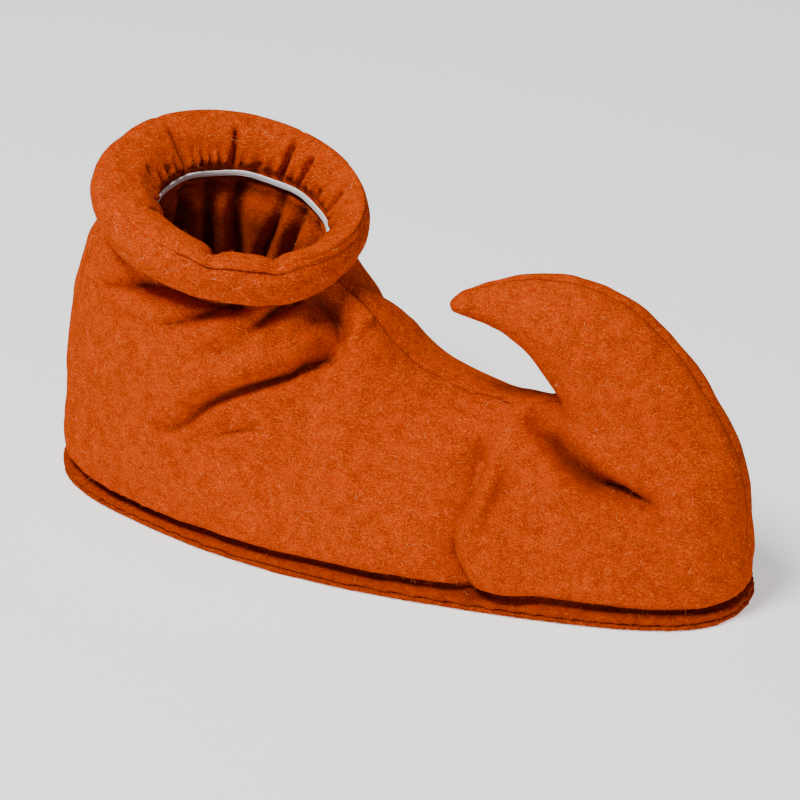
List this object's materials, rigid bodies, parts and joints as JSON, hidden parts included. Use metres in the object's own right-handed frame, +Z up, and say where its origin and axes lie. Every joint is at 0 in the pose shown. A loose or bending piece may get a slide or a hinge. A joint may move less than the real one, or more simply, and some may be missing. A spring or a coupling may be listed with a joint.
{
  "type": "shoe cover",
  "caption": "Padded felt elf shoe cover with a curled toe, a rolled cuff, a gathered elastic neck and a flat sewn felt sole",
  "frame": {"origin": "on the floor under the middle of the sole's length and width", "axes": "+Z up, +X towards the toe, +Y to one side; alike on both sides of the XZ plane"},
  "size_m": [0.32, 0.1216, 0.1588],
  "materials": {
    "felt": "brushed padded felt, rust orange with lighter fibres",
    "felt_sole": "flat felt, rust orange",
    "elastic_band": "white ribbed elastic tape"
  },
  "bodies": {
    "root": {"sole": "felt_sole", "upper": "felt", "cuff": "felt", "cuff_facing": "felt", "elastic": "elastic_band"}
  },
  "joints": []
}
